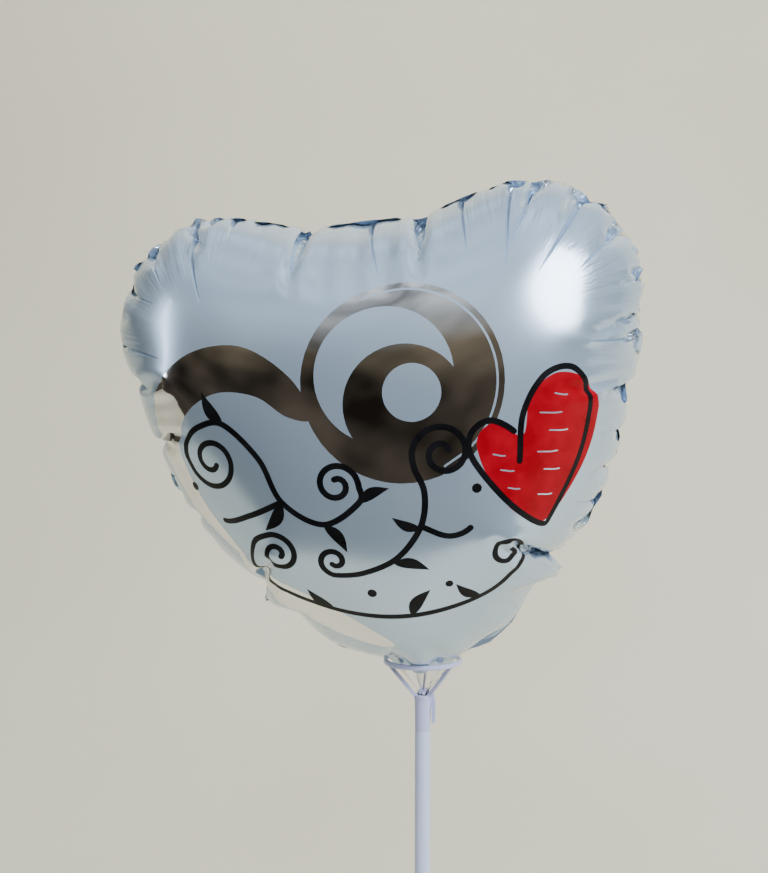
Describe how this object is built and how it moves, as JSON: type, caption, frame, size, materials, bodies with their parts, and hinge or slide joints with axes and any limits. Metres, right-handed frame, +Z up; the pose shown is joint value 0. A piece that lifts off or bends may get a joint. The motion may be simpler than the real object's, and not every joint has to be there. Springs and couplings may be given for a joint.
{
  "type": "foil balloon on a stick",
  "caption": "Air-filled heart-shaped foil balloon leaning on its flexible neck, held by a ribbed ring cup plugged into a hollow stick.",
  "frame": {"origin": "centre of the stick's cut lower end", "axes": "+Z up the stick, -Y out of the balloon's printed face, the balloon leans to -X"},
  "size_m": [0.2045, 0.106, 0.5095],
  "materials": {
    "stick_plastic": "satin white tube",
    "cup_plastic": "slightly translucent moulding",
    "printed_foil": "pearl ink on metallised film",
    "mirror_foil": "bare metallised film",
    "valve_film": "clear film"
  },
  "bodies": {
    "stick": {"stick": "stick_plastic"},
    "cup": {"cup": "cup_plastic"},
    "tail": {"front_tail": "mirror_foil", "back_tail": "mirror_foil", "valve_front_film": "valve_film", "valve_back_film": "valve_film"},
    "balloon": {"front_panel": "printed_foil", "back_panel": "mirror_foil"}
  },
  "joints": [
    {"name": "cup_turn", "type": "hinge", "parent": "stick", "child": "cup", "pos_m": [0, 0, 0.3], "axis": [0, 0, 1], "continuous": true},
    {"name": "tail_lift", "type": "slide", "parent": "cup", "child": "tail", "axis": [0, 0, 1], "range_m": [0, 0.025]},
    {"name": "balloon_lean", "type": "hinge", "parent": "tail", "child": "balloon", "pos_m": [0, 0, 0.3274], "axis": [0, 1, 0], "range_deg": [-5, 19], "stiffness_Nm_per_rad": 0.02, "springref_deg": 1.93}
  ]
}
